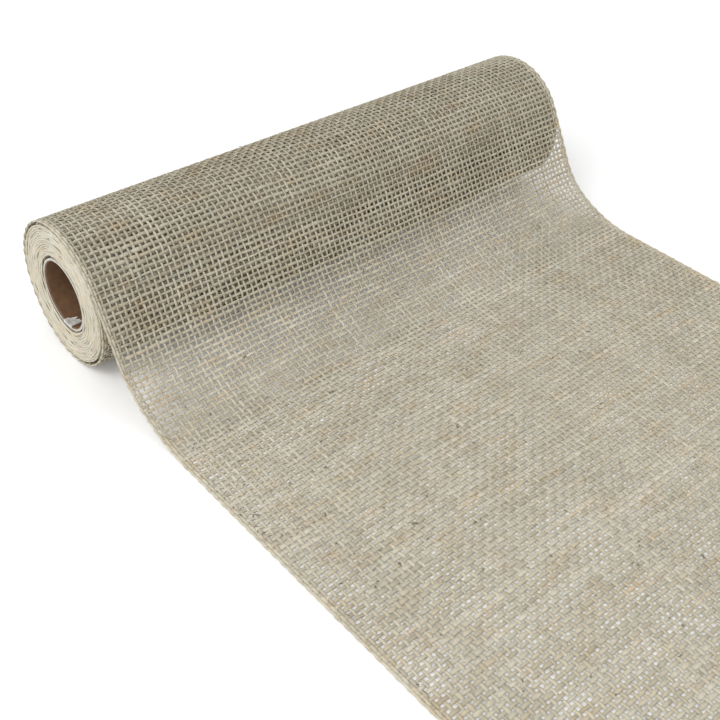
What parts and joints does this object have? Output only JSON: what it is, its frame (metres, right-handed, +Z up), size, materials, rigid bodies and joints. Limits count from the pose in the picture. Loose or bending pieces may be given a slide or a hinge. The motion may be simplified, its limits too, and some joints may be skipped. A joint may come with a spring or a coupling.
{
  "type": "ribbon spool",
  "caption": "Wide open-weave jute ribbon wound on a spiral-ply cardboard core, with its free end draped from the roll and run out flat.",
  "frame": {"origin": "centre of the core's bore, halfway along it", "axes": "+Y along the roll's axis away from the taped end, +X the way the ribbon runs out, +Z up"},
  "size_m": [0.3959, 0.3, 0.072],
  "materials": {
    "kraft_liner": "matt brown kraft paper, spiral seam",
    "grey_board": "matt fibrous board edge",
    "pale_wrapper": "matt pale paper",
    "clear_tape": "crinkled, milky where it is folded",
    "jute": "open plain weave of hairy natural jute yarn"
  },
  "bodies": {
    "lead": {"ribbon_lead": "jute"},
    "roll": {"core_inner_ply": "kraft_liner", "core_middle_ply": "grey_board", "core_outer_ply": "pale_wrapper", "starter_tape": "clear_tape", "ribbon_coil": "jute"},
    "tail_1": {"ribbon_tail_1": "jute"},
    "tail_2": {"ribbon_tail_2": "jute"},
    "tail_3": {"ribbon_tail_3": "jute"},
    "tail_4": {"ribbon_tail_4": "jute"}
  },
  "joints": [
    {"name": "roll_spin", "type": "hinge", "parent": "lead", "child": "roll", "pos_m": [0, 0, 0], "axis": [0, 1, 0], "continuous": true},
    {"name": "tail_lift", "type": "hinge", "parent": "lead", "child": "tail_1", "pos_m": [0.14, 0, -0.03474], "axis": [0, -1, 0], "range_deg": [0, 22.5]},
    {"name": "tail_curl_2", "type": "hinge", "parent": "tail_1", "child": "tail_2", "pos_m": [0.195, 0, -0.03474], "axis": [0, -1, 0], "range_deg": [0, 22.5]},
    {"name": "tail_curl_3", "type": "hinge", "parent": "tail_2", "child": "tail_3", "pos_m": [0.25, 0, -0.03474], "axis": [0, -1, 0], "range_deg": [0, 22.5]},
    {"name": "tail_curl_4", "type": "hinge", "parent": "tail_3", "child": "tail_4", "pos_m": [0.305, 0, -0.03474], "axis": [0, -1, 0], "range_deg": [0, 22.5]}
  ],
  "couplings": [
    {"joint": "tail_curl_2", "follows": "tail_lift", "ratio": 1},
    {"joint": "tail_curl_3", "follows": "tail_lift", "ratio": 1},
    {"joint": "tail_curl_4", "follows": "tail_lift", "ratio": 1}
  ]
}
